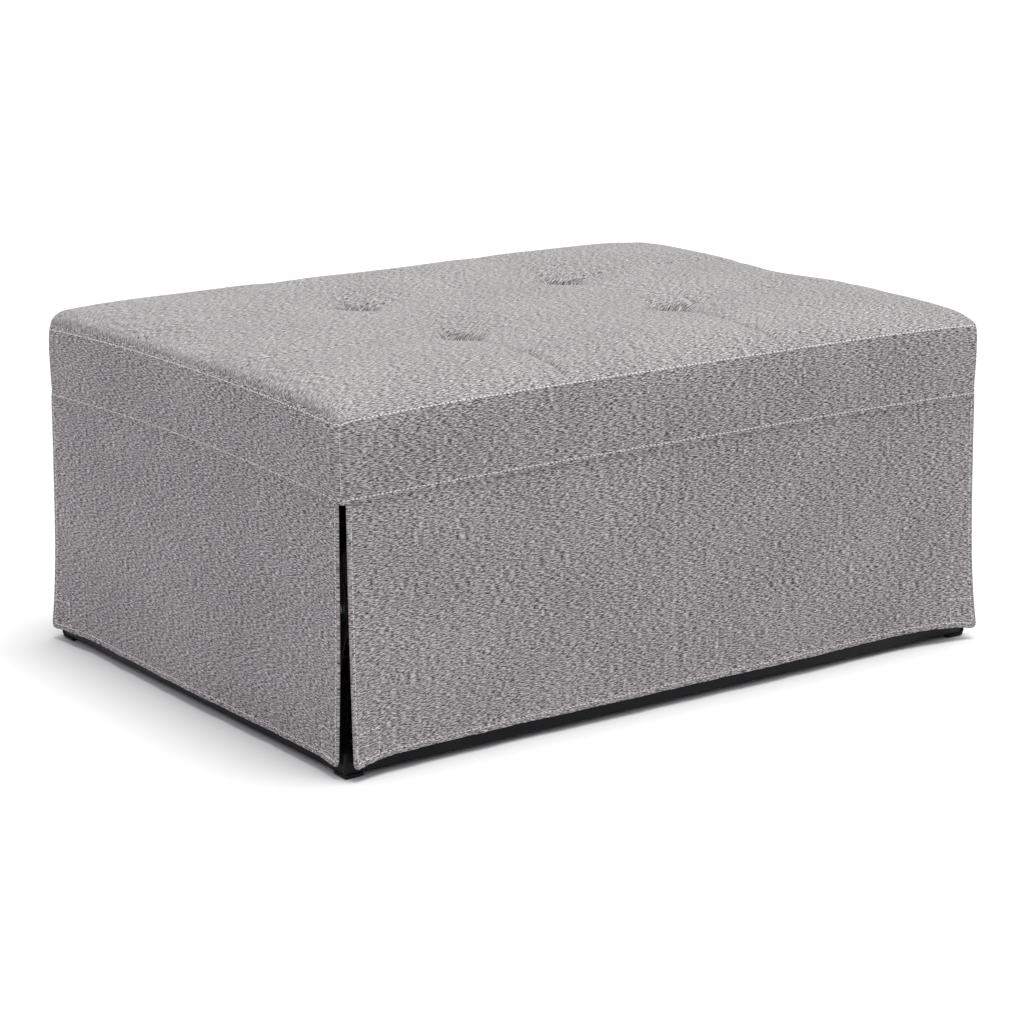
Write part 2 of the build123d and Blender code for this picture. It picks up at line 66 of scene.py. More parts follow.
# Studio: a pale floor, a soft even room and one broad lamp overhead.
# The floor looks white to the camera and grey to the object, so that it throws little light back up.
class Wire:
    """A shader socket. Sums on it add Math nodes, and add() makes a node of any other kind."""

    def __init__(self, tree, socket=None):
        self.tree, self.socket = tree, socket

    def add(self, kind, settings, values, out=0):
        node = self.tree.nodes.new("ShaderNode" + kind)
        for key, value in settings.items():
            if key == "stops":
                for place, colour in value[1:-1]:
                    node.color_ramp.elements.new(place)
                for element, (place, colour) in zip(node.color_ramp.elements, value):
                    element.position, element.color = place, (*colour, 1)
            else:
                setattr(node, key, value)
        for key, value in values.items():
            named = [s for s in node.inputs if s.enabled and s.name == key]
            self.feed(named[0] if named else node.inputs[key], value)
        return Wire(self.tree, node.outputs[out] if out else [s for s in node.outputs if s.enabled][0])

    def feed(self, socket, value):
        if isinstance(value, Wire):
            self.tree.links.new(value.socket, socket)
        elif socket.type == "RGBA":
            socket.default_value = (*value, 1)
        else:
            socket.default_value = value

    def look(self, **values):
        """Feeds the surface's sockets of these names."""
        for key, value in values.items():
            self.feed(self.tree.nodes["Principled BSDF"].inputs[key.replace("_", " ")], value)

    def math(self, operation, *values):
        return self.add("Math", {"operation": operation}, dict(enumerate(values)))

    def __add__(self, other):
        return self.math("ADD", self, other)

    def __sub__(self, other):
        return self.math("SUBTRACT", self, other)

    def __rsub__(self, other):
        return self.math("SUBTRACT", other, self)

    def __mul__(self, other):
        return self.math("MULTIPLY", self, other)

    __radd__, __rmul__ = __add__, __mul__

    def on_object(self):
        """The place on the object, in metres."""
        return self.add("TexCoord", {}, {}, "Object")

    def scaled(self, *factors):
        """This vector with each part multiplied."""
        return self.add("VectorMath", {"operation": "MULTIPLY"}, {0: self, 1: factors})

    def part(self, axis):
        """One part of this vector: X, Y or Z."""
        return self.add("SeparateXYZ", {}, {0: self}, axis)

    def noise(self, detail=2.0, roughness=0.5):
        """Noise at this place, one unit across."""
        values = {"Vector": self, "Scale": 1.0, "Detail": detail, "Roughness": roughness}
        return self.add("TexNoise", {}, values)

    def wave(self, period):
        """The sine of this number, one turn to a period."""
        return self.math("SINE", self * (2 * pi / period))

    def ramp(self, low, high, start=0.0, end=1.0):
        """This number from low to high, taken smoothly to start to end."""
        return self.add(
            "MapRange",
            {"interpolation_type": "SMOOTHSTEP"},
            {"Value": self, "From Min": low, "From Max": high, "To Min": start, "To Max": end},
        )

    def between(self, first, second):
        """The colour this share of the way from the first to the second."""
        return self.add("Mix", {"data_type": "RGBA"}, {"Factor": self, "A": first, "B": second})

    def bump(self, strength, distance):
        """The normal of a surface with this height."""
        return self.add("Bump", {}, {"Height": self, "Strength": strength, "Distance": distance})


def material(name, **constants):
    """A material and its wire, with what is the same all over set on the surface's sockets."""
    made = bpy.data.materials.new(name)
    made.use_nodes = True
    wire = Wire(made.node_tree)
    wire.look(**constants)
    return made, wire


def piece(name, points, faces, made=None):
    """An object with this mesh, smooth all over."""
    mesh = bpy.data.meshes.new(name)
    mesh.from_pydata([tuple(p) for p in points], [], [tuple(f) for f in faces])
    mesh.validate()
    mesh.shade_smooth()
    if made:
        mesh.materials.append(made)
    thing = bpy.data.objects.new(name, mesh)
    bpy.context.collection.objects.link(thing)
    return thing


def seen_by_eye(wire):
    """1 for the rays that carry a picture: from the camera, off a gloss or through glass."""
    rays = [wire.add("LightPath", {}, {}, f"Is {kind} Ray") for kind in ("Camera", "Glossy", "Transmission")]
    return wire.math("MAXIMUM", wire.math("MAXIMUM", rays[0], rays[1]), rays[2])


four_corners = np.array([(-1, -1), (1, -1), (1, 1), (-1, 1)])
floor_reach = 40
floor_seen, floor_felt = (1.0, 1.0, 1.0), (0.66, 0.635, 0.655)
room_colour, room_strength = (0.98, 0.97, 1.02), 0.5
lamp_from = Vector((0.07, -0.07, 0.7))
lamp_colour, lamp_spread = (1.0, 0.995, 0.97), radians(32)

floor_paint, wire = material("floor", Roughness=1.0, Specular_IOR_Level=0.0)
wire.look(Base_Color=seen_by_eye(wire).between(floor_felt, floor_seen))
corners = [(x, y, 0) for x, y in four_corners * floor_reach]
piece("floor", corners, [(0, 1, 2, 3)], floor_paint)

room = bpy.data.worlds.new("room")
room.use_nodes = True
bpy.context.scene.world = room
wire = Wire(room.node_tree)
seen = seen_by_eye(wire)
backdrop = room.node_tree.nodes["Background"].inputs
wire.feed(backdrop["Color"], seen.between(room_colour, floor_seen))
wire.feed(backdrop["Strength"], seen.ramp(0.0, 1.0, room_strength, 1.0))

lamp = bpy.data.objects.new("lamp", bpy.data.lights.new("lamp", "SUN"))
lamp.data.energy = pi * lamp_from.length
lamp.data.color = lamp_colour
lamp.data.angle = lamp_spread
lamp.rotation_euler = lamp_from.to_track_quat("Z", "Y").to_euler()
bpy.context.collection.objects.link(lamp)

# Bottom ring: four lengths of square steel tube, mitred, welded and coated black.
# The tube's edges are rolled to a small radius and a weld bead crosses each mitre.
ring_half, ring_tube = np.array([0.482, 0.3425]), 0.025
ring_low, ring_roll, mitre_softness = 0.005, 0.0024, 0.0006
ring_middle = ring_low + ring_tube / 2
coat_dark, coat_worn = (0.009, 0.0093, 0.0105), (0.0145, 0.015, 0.0165)

coat, wire = material("black_coat", Specular_IOR_Level=0.12)
at = wire.on_object()
orange_peel = at.scaled(900, 900, 900).noise(1.0)
wear = at.scaled(30, 30, 30).noise(4.0)
wire.look(Base_Color=wear.ramp(0.35, 0.75).between(coat_dark, coat_worn))
wire.look(Roughness=wear.ramp(0.3, 0.7, 0.36, 0.5))
wire.look(Normal=orange_peel.bump(0.25, 0.0002))


def rounded_square(half, radius, steps=3):
    """Points round a square with round corners, about its middle."""
    points = []
    for quarter, corner in enumerate(((1, 1), (-1, 1), (-1, -1), (1, -1))):
        for step in range(steps + 1):
            angle = (quarter + step / steps) * pi / 2
            bend = np.array([np.cos(angle), np.sin(angle)])
            points.append(np.array(corner) * (half - radius) + radius * bend)
    return np.array(points)


def unit(vectors):
    """These vectors, each at length one."""
    return vectors / np.maximum(np.linalg.norm(vectors, axis=1), 1e-9)[:, None]


def hoops(rows):
    """Points and faces of a closed tube. Each row is a closed hoop, and the last row joins the first."""
    rows = np.array(rows)
    here = np.arange(rows.shape[0] * rows.shape[1]).reshape(rows.shape[:2])
    ahead = np.roll(here, -1, 0)
    faces = np.stack([here, np.roll(here, -1, 1), np.roll(ahead, -1, 1), ahead], -1)
    return rows.reshape(-1, 3), faces.reshape(-1, 4)


def together(parts):
    """The points and faces of several meshes as those of one."""
    starts = np.cumsum([0] + [len(points) for points, faces in parts])
    points = np.concatenate([points for points, faces in parts])
    return points, np.concatenate([faces + start for (_, faces), start in zip(parts, starts)])


tube = rounded_square(ring_tube / 2, ring_roll)
ring_corners = four_corners * (ring_half - ring_tube / 2)
rows = []
for outward, middle in zip(four_corners, ring_corners):
    rows.append([(*(middle + outward * out), ring_middle + up) for out, up in tube])
ring = piece("bottom_ring", *hoops(rows), coat)
edges = ring.modifiers.new("edges", "BEVEL")
edges.width, edges.segments, edges.limit_method, edges.angle_limit = mitre_softness, 2, "ANGLE", radians(40)
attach(ring, "base_section")
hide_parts("front_bottom_rail", "right_bottom_rail", "back_bottom_rail", "left_bottom_rail")

bead_radius, bead_width_share, bead_sides = 0.0011, 1.6, 6
ripple_share, ripple_turn = 0.25, 2.4
path = rounded_square(ring_tube / 2, ring_roll, 2)
steps = [path + (np.roll(path, -1, 0) - path) * share for share in (0, 0.34, 0.67)]
bead_path = np.concatenate(steps, 1).reshape(-1, 2)
beads = []
for outward, middle in zip(four_corners, ring_corners):
    across = np.array([-outward[1], outward[0]]) / 2 ** 0.5
    rows = []
    for k, place in enumerate(bead_path):
        away = place / np.hypot(*place)
        swell = bead_radius * (1 + ripple_share * np.sin(ripple_turn * k))
        row = []
        for side in range(bead_sides):
            angle = side * 2 * pi / bead_sides
            out, along = np.cos(angle) * swell, np.sin(angle) * swell * bead_width_share
            flat = middle + outward * (place[0] + away[0] * out) + across * along
            row.append((*flat, ring_middle + place[1] + away[1] * out))
        rows.append(row)
    beads.append(hoops(rows))
weld = piece("ring_weld_beads", *together(beads), coat)
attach(weld, "base_section")

# Feet: moulded black plastic caps pressed on under the ring's corners, each with a soft lower edge.
# They are scuffed a little paler in streaks.
foot_dark, foot_scuffed = (0.006, 0.006, 0.0065), (0.02, 0.02, 0.021)

foot_plastic, wire = material("foot_plastic", Specular_IOR_Level=0.15)
at = wire.on_object()
grain = at.scaled(1500, 1500, 1500).noise(2.0)
scuff = at.scaled(60, 60, 400).noise(3.0)
wire.look(Base_Color=scuff.ramp(0.45, 0.8).between(foot_dark, foot_scuffed))
wire.look(Roughness=scuff.ramp(0.3, 0.8, 0.5, 0.75))
wire.look(Normal=grain.bump(0.3, 0.0002))


def dressed(made, *names):
    """Gives CAD nodes that keep their shape this material."""
    for name in names:
        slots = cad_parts[name].data.materials
        slots.clear()
        slots.append(made)


dressed(foot_plastic, "foot_pads")

# Frame above the ring: uprights in the same black coat, and three decks of coated tube with thin slats.
# The hinge ears are plate, welded on and coated with the decks.
deck_dark, deck_worn = (0.022, 0.022, 0.024), (0.04, 0.04, 0.043)

dressed(coat, "base_uprights")
deck_coat, wire = material("deck_coat", Metallic=0.25)
at = wire.on_object()
orange_peel = at.scaled(1100, 1100, 1100).noise(1.0)
wear = at.scaled(24, 24, 24).noise(4.0)
wire.look(Base_Color=wear.ramp(0.35, 0.75).between(deck_dark, deck_worn))
wire.look(Roughness=wear.ramp(0.3, 0.7, 0.4, 0.55))
wire.look(Normal=orange_peel.bump(0.25, 0.0002))
for section in ("base", "middle", "top"):
    dressed(deck_coat, f"{section}_side_rails", f"{section}_end_rails", f"{section}_slats")
dressed(deck_coat, "base_hinge_ears", "middle_front_ears", "middle_back_ears", "top_hinge_ears")

# Bolts and pins: zinc plated steel, faintly blue.
# The plating bath leaves them a little streaked.
zinc_dull, zinc_bright = (0.5, 0.51, 0.53), (0.68, 0.69, 0.71)

zinc, wire = material("zinc_plate", Metallic=1.0)
streak = wire.on_object().scaled(500, 500, 90).noise(3.0)
wire.look(Base_Color=streak.ramp(0.3, 0.7).between(zinc_dull, zinc_bright))
wire.look(Roughness=streak.ramp(0.3, 0.7, 0.28, 0.45))
dressed(zinc, "front_hinge_bolts", "back_hinge_bolts", "joint_leg_pins", "end_leg_pins")

# Legs: two U shaped legs of round tube with a crossbar, coated like the decks.
# Rubber plugs in their ends are the feet.
rubber_dark, rubber_bloomed = (0.016, 0.016, 0.017), (0.04, 0.04, 0.041)

dressed(deck_coat, "joint_leg_tubes", "joint_leg_crossbar", "end_leg_tubes", "end_leg_crossbar")
rubber, wire = material("leg_rubber", Specular_IOR_Level=0.3)
bloom = wire.on_object().scaled(150, 150, 150).noise(3.0)
wire.look(Base_Color=bloom.ramp(0.4, 0.7).between(rubber_dark, rubber_bloomed))
wire.look(Roughness=bloom.ramp(0.3, 0.7, 0.75, 0.9))
dressed(rubber, "joint_leg_feet", "end_leg_feet")

# Cover's cloth: a dense woven polyester, grey with paler and darker slubs that run along the hems.
# Its map is in metres on every piece, so the weave is the same size everywhere. The top's map lies apart
# from the others, because the top is brushed smooth by use and its slubs show less.
cloth_dark, cloth_mid, cloth_light = (0.07, 0.065, 0.068), (0.347, 0.333, 0.334), (0.8, 0.785, 0.78)
dark_tone, mid_tone, light_tone = 0.405, 0.5, 0.6
slub_share, fleck_share, shade_share = 0.62, 0.34, 0.04
yarn_slip, warp_pitch, weft_pitch = 0.008, 0.0018, 0.0014
top_map_apart, top_contrast = -5, 0.72
lining_dark, lining_pale = (0.2, 0.2, 0.21), (0.32, 0.32, 0.33)

cloth, wire = material("cover_cloth", Roughness=0.95, Specular_IOR_Level=0.12)
at = wire.add("UVMap", {"uv_map": "cloth"}, {})
slip = at.add("CombineXYZ", {}, {"X": at.scaled(40, 1000, 1).noise(0.0) * yarn_slip})
yarns = at.add("VectorMath", {"operation": "ADD"}, {0: at, 1: slip})
slub = yarns.scaled(140, 1000, 1).noise(1.0)
fleck = yarns.scaled(270, 1250, 1).noise(0.0)
shade = at.scaled(7, 9, 1).noise(2.0)
contrast = at.part("Y").ramp(top_map_apart + 2, top_map_apart + 3, top_contrast, 1.0)
speckle = slub * slub_share + fleck * fleck_share + shade * shade_share - mid_tone
tone = speckle * contrast + mid_tone
stops = (dark_tone, cloth_dark), (mid_tone, cloth_mid), (light_tone, cloth_light)
wire.look(Base_Color=tone.add("ValToRGB", {"stops": stops}, {0: tone}))
weave = at.part("X").wave(warp_pitch) * at.part("Y").wave(weft_pitch)
wire.look(Normal=(weave * 0.25 + slub * 0.8 + fleck * 0.4).bump(0.12, 0.0004))

lining, wire = material("cover_lining", Roughness=0.95, Specular_IOR_Level=0.2)
fibre = wire.on_object().scaled(700, 700, 700).noise(3.0)
wire.look(Base_Color=fibre.ramp(0.3, 0.7).between(lining_dark, lining_pale))
wire.look(Normal=fibre.bump(0.4, 0.0003))

# Cover's top: a foam pad between a tufted top panel and a lining, with a deep band sewn round it.
# The corners are pulled down a little, so that the seams rise between them, most over the left side.
# Twine pulls four tufts down, and creases run from them to each other and to the seam.
cover_half = np.array([0.486, 0.3465])
cover_round = 0.012
seam_height, band_edge_height, lining_height = 0.417, 0.322, 0.3839
# How a seam rises from its corners: height and power over the long sides, and over the short ones
seam_rise, band_edge_rise, left_lift = (0.0062, 5, 0.0065, 2.2), (0.0038, 4, 0.006, 2), 0.004
crown_height, crown_fall, cockle = 0.4485, 0.0035, 0.0016
right_from, right_fall = 0.25, 0.0045
hollow_depth, hollow_place, hollow_reach = 0.004, 0.05, 0.1
# The share of the rise in the tight roll at the seam, its length, and that of the gentle rise behind it
side_roll, front_roll, back_roll = (0.72, 0.02, 0.14), (0.62, 0.035, 0.13), (0.72, 0.018, 0.14)
tuft_place = (0.162, 0.1155)
tufts = four_corners * tuft_place
dent_depth, dent_reach = 0.0115, 0.044
pit_depth, pit_reach, pit_rim = 0.0225, 0.0225, 0.0034
fold_depth, fold_start, fold_length, fold_width, fold_spread = 0.0135, 0.016, 0.042, 0.003, 0.08
end_crease, back_crease, front_crease = 0.45, 0.3, 1.0
crease_bend, crease_run, crease_wander, crease_waves, crease_shift = 0.0065, 0.23, 0.0012, 45, 9
crease_fade = 1.6
valley_depth, valley_start, valley_width = 0.0034, 0.03, 0.011
groove_depth, groove_gain, groove_from, groove_run, groove_width = 0.0012, 0.0045, 0.08, 0.1, 0.0019
cell, crowding, crowded = 0.006, 3.5, 0.019
edge_distances = np.array([0, 0.0005, 0.0016, 0.0035, 0.0062, 0.0098, 0.0145])
most_swelling, coarse_cell, held_reach = 0.0045, 0.01, 0.018


def places_across(half, tuft):
    """Places from -half to half: a cell apart, closer along the tufts' lines and closest at both ends."""
    inner = half - edge_distances[-1] - cell
    fine = np.linspace(-inner, inner, 4001)
    near_tufts = sum(np.exp(-(((fine - side * tuft) / crowded) ** 2)) for side in (1, -1))
    cells = np.cumsum(1 + crowding * near_tufts) * (fine[1] - fine[0]) / cell
    middle = np.interp(np.linspace(cells[0], cells[-1], int(round(cells[-1])) + 1), cells, fine)
    return np.concatenate([-half + edge_distances, middle, (half - edge_distances)[::-1]])


def lift(x, y, front_lift, front_power, side_lift, side_power):
    """How far a seam stands above its corners. It is highest over the left side's middle."""
    along, across = np.abs(x / cover_half[0]), np.abs(y / cover_half[1])
    side = side_lift - left_lift * x / cover_half[0]
    return front_lift * (1 - along ** front_power) + side * (1 - across ** side_power)


def quarter_round(distance, radius):
    """Rises from 0 to 1 over this radius as a quarter circle does."""
    share = np.clip(distance / radius, 0, 1)
    return np.sqrt(1 - (1 - share) ** 2)


def slope(distance, length):
    """Rises from 0 to 1 over this length, steepest at the start."""
    return 1 - (1 - np.clip(distance / length, 0, 1)) ** 2


def rolled(curve, distance, tight_share, tight, gentle):
    """Rises from 0 to 1: a tight roll over the seam and a gentle rise behind it."""
    return tight_share * curve(distance, tight) + (1 - tight_share) * curve(distance, gentle)


def creases(x, y, tuft_x, tuft_y):
    """How deep the folds close round a tuft are, and the creases that run on from it to the seam."""
    folds = run_on = 0
    for along, across, share in (
        (x, y, end_crease * (tuft_x > 0)), (-x, y, end_crease * (tuft_x < 0)),
        (y, x, back_crease * (tuft_y > 0)), (-y, x, front_crease * (tuft_y < 0)),
    ):
        ahead = np.clip(along, 0, None)
        near = fold_depth * np.exp(-ahead / fold_length) * (1 - np.exp(-ahead / fold_start))
        folds = folds + near * np.exp(-np.abs(across) / (fold_width + fold_spread * ahead))
        wander = crease_wander * np.sin(ahead * crease_waves + tuft_x * crease_shift)
        drift = np.abs(across + crease_bend * (ahead / crease_run) ** 1.5 + wander)
        valley = valley_depth * (1 - np.exp(-ahead / valley_start)) * np.exp(-drift / valley_width)
        gain = groove_gain * np.clip((ahead - groove_from) / groove_run, 0, 1)
        groove = (groove_depth + gain) * np.exp(-drift / groove_width)
        run_on = run_on + share * (valley + groove) * (ahead > 0)
    return folds, run_on


def top_height(x, y):
    """The top's height: a roll over the seam, a gentle crown, four tufts and their creases."""
    from_side, from_end = cover_half[0] - np.abs(x), cover_half[1] - np.abs(y)
    end_rise = np.where(
        y < 0, rolled(slope, from_end, *front_roll), rolled(quarter_round, from_end, *back_roll),
    )
    rise = rolled(quarter_round, from_side, *side_roll) * end_rise
    cockles = cockle * (np.cos(x * pi / tuft_place[0]) * np.cos(y * pi / tuft_place[1]) - 1)
    crown = crown_height + cockles - crown_fall * np.abs(y / cover_half[1]) ** 6
    right = np.clip((x - right_from) / (cover_half[0] - right_from), 0, 1) ** 2
    crown = crown - right * (right_fall + hollow_depth * np.exp(-((y - hollow_place) / hollow_reach) ** 2))
    seam = seam_height + lift(x, y, *seam_rise)
    height = seam + (crown - seam) * rise
    for tuft_x, tuft_y in tufts:
        away = np.hypot(x - tuft_x, y - tuft_y)
        dent = dent_depth * np.exp(-((away / dent_reach) ** 2))
        pit = pit_depth / (1 + np.exp((away - pit_reach) / pit_rim))
        folds, run_on = creases(x - tuft_x, y - tuft_y, tuft_x, tuft_y)
        height = height - dent - pit - folds - run_on * np.minimum(rise * crease_fade, 1)
    return height


def cells_of(grid, over=True):
    """The faces of a grid of point numbers, seen from above if over and otherwise from below."""
    a, b, c, d = grid[:-1, :-1], grid[1:, :-1], grid[1:, 1:], grid[:-1, 1:]
    return np.stack((a, b, c, d) if over else (a, d, c, b), -1).reshape(-1, 4)


def border_of(grid):
    """The border of a grid, once round, counter-clockwise from above, from the near left corner."""
    return np.concatenate([grid[:-1, 0], grid[-1, :-1], grid[1:, -1][::-1], grid[0, 1:][::-1]])


def belt(above, below):
    """The faces of a closed belt between two rows of point numbers."""
    return np.stack([above, below, np.roll(below, -1), np.roll(above, -1)], -1)


def swelling(pressure=4.0, frames=20):
    """How far a sheet over the pad swells between its seam and the tufts, at the places of a coarse grid.
    It is simulated as cloth, smoothed a little, and kept under the most swelling."""
    places = [np.linspace(-half, half, 2 * int(round(half / coarse_cell)) + 1) for half in cover_half]
    x, y = np.meshgrid(*places, indexing="ij")
    rest = np.stack([x, y, top_height(x, y)], -1)
    numbers = np.arange(x.size).reshape(x.shape)
    sheet = piece("pad_sheet", rest.reshape(-1, 3), cells_of(numbers).tolist())
    held = (np.abs(x) > cover_half[0] - 1e-6) | (np.abs(y) > cover_half[1] - 1e-6)
    for tuft_x, tuft_y in tufts:
        held |= np.hypot(x - tuft_x, y - tuft_y) < held_reach
    sheet.vertex_groups.new(name="held").add(numbers[held].tolist(), 1.0, "REPLACE")
    sheet_cloth = sheet.modifiers.new("cloth", "CLOTH")
    settings = sheet_cloth.settings
    settings.quality, settings.mass, settings.vertex_group_mass = 5, 0.3, "held"
    settings.tension_stiffness = settings.compression_stiffness = 40
    settings.shear_stiffness, settings.bending_stiffness = 20, 0.4
    settings.use_pressure, settings.uniform_pressure_force = True, pressure
    settings.effector_weights.gravity = 0
    sheet_cloth.collision_settings.use_collision = False
    sheet_cloth.point_cache.frame_start, sheet_cloth.point_cache.frame_end = 1, frames
    for frame_number in range(1, frames + 1):
        bpy.context.scene.frame_set(frame_number)
    swelled = sheet.evaluated_get(bpy.context.evaluated_depsgraph_get())
    moved = np.array([v.co for v in swelled.data.vertices]).reshape(rest.shape) - rest
    bpy.context.scene.frame_set(1)
    mesh = sheet.data
    bpy.data.objects.remove(sheet)
    bpy.data.meshes.remove(mesh)
    for _ in range(2):
        around = moved[:-2, 1:-1] + moved[2:, 1:-1] + moved[1:-1, :-2] + moved[1:-1, 2:]
        moved[1:-1, 1:-1] = (2 * moved[1:-1, 1:-1] + around) / 6
    length = np.linalg.norm(moved, axis=-1, keepdims=True)
    return places, moved * most_swelling * np.tanh(length / most_swelling) / np.maximum(length, 1e-9)


def read_between(places, values, x, y):
    """The values of a grid at other places, straight between its own."""
    column, row = (np.interp(v, p, np.arange(len(p))) for v, p in zip((x, y), places))
    i = np.minimum(column.astype(int), len(places[0]) - 2)
    j = np.minimum(row.astype(int), len(places[1]) - 2)
    u, v = (column - i)[..., None], (row - j)[..., None]
    low = values[i, j] * (1 - u) + values[i + 1, j] * u
    high = values[i, j + 1] * (1 - u) + values[i + 1, j + 1] * u
    return low * (1 - v) + high * v


# The top panel is a grid over a square outline, whose corners are then bent round
places = [places_across(half, tuft) for half, tuft in zip(cover_half, tuft_place)]
flat_x, flat_y = np.meshgrid(*places, indexing="ij")
flat = np.stack([flat_x, flat_y], -1)
over = np.clip(np.abs(flat) - cover_half + cover_round, 0, None) / cover_round
in_corner = (over > 0).all(-1, keepdims=True)
bent = over * np.sqrt(1 - over[..., ::-1] ** 2 / 2)
spots = np.where(in_corner, np.sign(flat) * (cover_half - cover_round + cover_round * bent), flat)
top_points = np.concatenate([spots, top_height(flat_x, flat_y)[..., None]], -1)
top_points = top_points + read_between(*swelling(), flat_x, flat_y)
top_points = top_points.reshape(-1, 3)
index = np.arange(flat_x.size).reshape(flat_x.shape)

rim = border_of(index)
count = len(rim)
rim_points, rim_flat = top_points[rim], flat.reshape(-1, 2)[rim]
step_out = np.where(in_corner, bent, np.abs(flat) >= cover_half - 1e-9) * np.sign(flat)
step_out = unit(step_out.reshape(-1, 2)[rim])
rim_steps = np.diff(rim_points[:, :2], axis=0, append=rim_points[:1, :2])
rim_run = np.concatenate([[0], np.cumsum(np.linalg.norm(rim_steps, axis=1))])
seam_z = seam_height + lift(*rim_flat.T, *seam_rise)
edge_z = band_edge_height + lift(*rim_flat.T, *band_edge_rise)

# The band's rows as shares of its depth, and how far it bulges at some shares
band_shares = (
    0.012, 0.03, 0.055, 0.085, 0.12, 0.17, 0.23, 0.3, 0.37, 0.44, 0.51, 0.58, 0.65, 0.72, 0.79, 0.85, 0.9,
    0.94, 0.965, 0.985, 0.997,
)
bulge_shares = (0, 0.012, 0.055, 0.17, 0.35, 0.6, 0.85, 0.94, 0.985, 1)
bulges = (0, 0.0007, 0.0016, 0.0028, 0.003, 0.0026, 0.0016, 0.0009, 0.0008, 0.0004)


def band_bulge(share):
    """How far the band stands out at this share of its depth."""
    return np.interp(share, bulge_shares, bulges)


# Rows from the seam down the band, round its turned edge and up inside to the lining:
# how far out each stands, and its height
band_turn = (0.0, -0.0004), (-0.0009, -0.0003), (-0.0012, 0.0006)
lining_turn = (-0.0022, 0.0005), (-0.0052, 0)
inside_out, inside_shares = -0.0014, (0.12, 0.4, 0.7, 0.92)
rows = [(band_bulge(share), seam_z + (edge_z - seam_z) * share) for share in band_shares]
rows += [(out, edge_z + up) for out, up in band_turn]
rows += [(inside_out, edge_z + (lining_height - edge_z) * share) for share in inside_shares]
rows += [(out, np.full(count, lining_height + up)) for out, up in lining_turn]
side_points = [np.column_stack([rim_points[:, :2] + step_out * out, height]) for out, height in rows]

band_map_apart, lining_map_apart = 1, 3
side_drop, front_drop, lining_shares = 0.016, 0.004, (0.989, 0.985)
drop_x = (1 - quarter_round(cover_half[0] - np.abs(flat_x), side_roll[1])) * side_drop * np.sign(flat_x)
drop_y = (1 - slope(cover_half[1] - np.abs(flat_y), front_roll[1])) * front_drop * np.sign(flat_y)
top_map = np.stack([flat_x + drop_x, flat_y + drop_y + top_map_apart], -1).reshape(-1, 2)
faces = [cells_of(index)]
maps = [top_map[faces[0].ravel()]]
above, above_z = rim, seam_z
for r, (out, height) in enumerate(rows):
    below = index.size + r * count + np.arange(count)
    faces.append(belt(above, below))
    corners = (
        (rim_run[:-1], above_z), (rim_run[:-1], height),
        (rim_run[1:], np.roll(height, -1)), (rim_run[1:], np.roll(above_z, -1)),
    )
    maps.append(np.stack([np.stack([run, z + band_map_apart], -1) for run, z in corners], 1).reshape(-1, 2))
    above, above_z = below, height
inner = np.setdiff1d(index.ravel(), rim)
under = np.empty(index.size, int)
under[inner] = index.size + len(rows) * count + np.arange(len(inner))
under[rim] = above
lining_spots = spots.reshape(-1, 2)[inner] * lining_shares
lining_points = np.column_stack([lining_spots, np.full(len(inner), lining_height)])
points = np.concatenate([top_points, *side_points, lining_points])
faces.append(cells_of(under.reshape(index.shape), over=False))
maps.append(points[faces[-1].ravel(), :2] + (lining_map_apart, 0))


def mapped(thing, maps):
    """Lays the cloth's map, in metres, on a piece: one place for each corner of each face, in order."""
    layer = thing.data.uv_layers.new(name="cloth")
    layer.uv.foreach_set("vector", np.array(maps, np.float32).ravel())


cushion = piece("cover_cushion", points, np.concatenate(faces), cloth)
cushion.data.materials.append(lining)
mapped(cushion, np.concatenate(maps))
lining_from = len(faces[0]) + (len(band_shares) + len(band_turn)) * count
for face in cushion.data.polygons[lining_from:]:
    face.material_index = 1


def divided(thing):
    """Applies one subdivision."""
    smooth = thing.modifiers.new("smooth", "SUBSURF")
    smooth.levels = smooth.render_levels = 1
    finer = bpy.data.meshes.new_from_object(thing.evaluated_get(bpy.context.evaluated_depsgraph_get()))
    thing.modifiers.clear()
    coarse, thing.data = thing.data, finer
    bpy.data.meshes.remove(coarse)
    thing.data.shade_smooth()


divided(cushion)
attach(cushion, "cover")
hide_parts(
    "cover_top_panel", "cover_pad", "cover_lining", "front_band", "right_band", "back_band", "left_band",
)

# Twine and discs inside the pad, which hold the tufts down.
# The twine is waxed and the discs are pressed felt.
twine_dark, twine_pale = (0.35, 0.33, 0.3), (0.6, 0.57, 0.52)
felt_dark, felt_pale = (0.16, 0.16, 0.16), (0.3, 0.3, 0.3)

twine, wire = material("waxed_twine", Roughness=0.6)
ply = wire.on_object().scaled(900, 900, 2500).noise(2.0)
wire.look(Base_Color=ply.ramp(0.3, 0.7).between(twine_dark, twine_pale))
dressed(twine, "tuft_twines")
felt, wire = material("pressed_felt", Roughness=0.95)
hair = wire.on_object().scaled(1200, 1200, 1200).noise(4.0)
wire.look(Base_Color=hair.ramp(0.3, 0.7).between(felt_dark, felt_pale))
dressed(felt, "tuft_anchors")

# Skirt: four hanging panels of the same cloth. Each has a turned hem at its lower and both upright edges,
# and a square of cloth sewn inside each lower corner. They stand off a little further at their corners.
skirt_face = np.array([0.485, 0.3455])
skirt_cloth, skirt_corner_gap = 0.0015, 0.0005
half_front, half_side = skirt_face - skirt_cloth - skirt_corner_gap
hinge_height, skirt_tuck, skirt_bend = 0.3217, 0.0135, 0.06
hem_end_height, hem_end_reach = 0.0142, 0.030
belly, tuck_in, tuck_share, corner_reach, wave_start = 0.003, 0.0011, 0.02, 0.15, 0.12
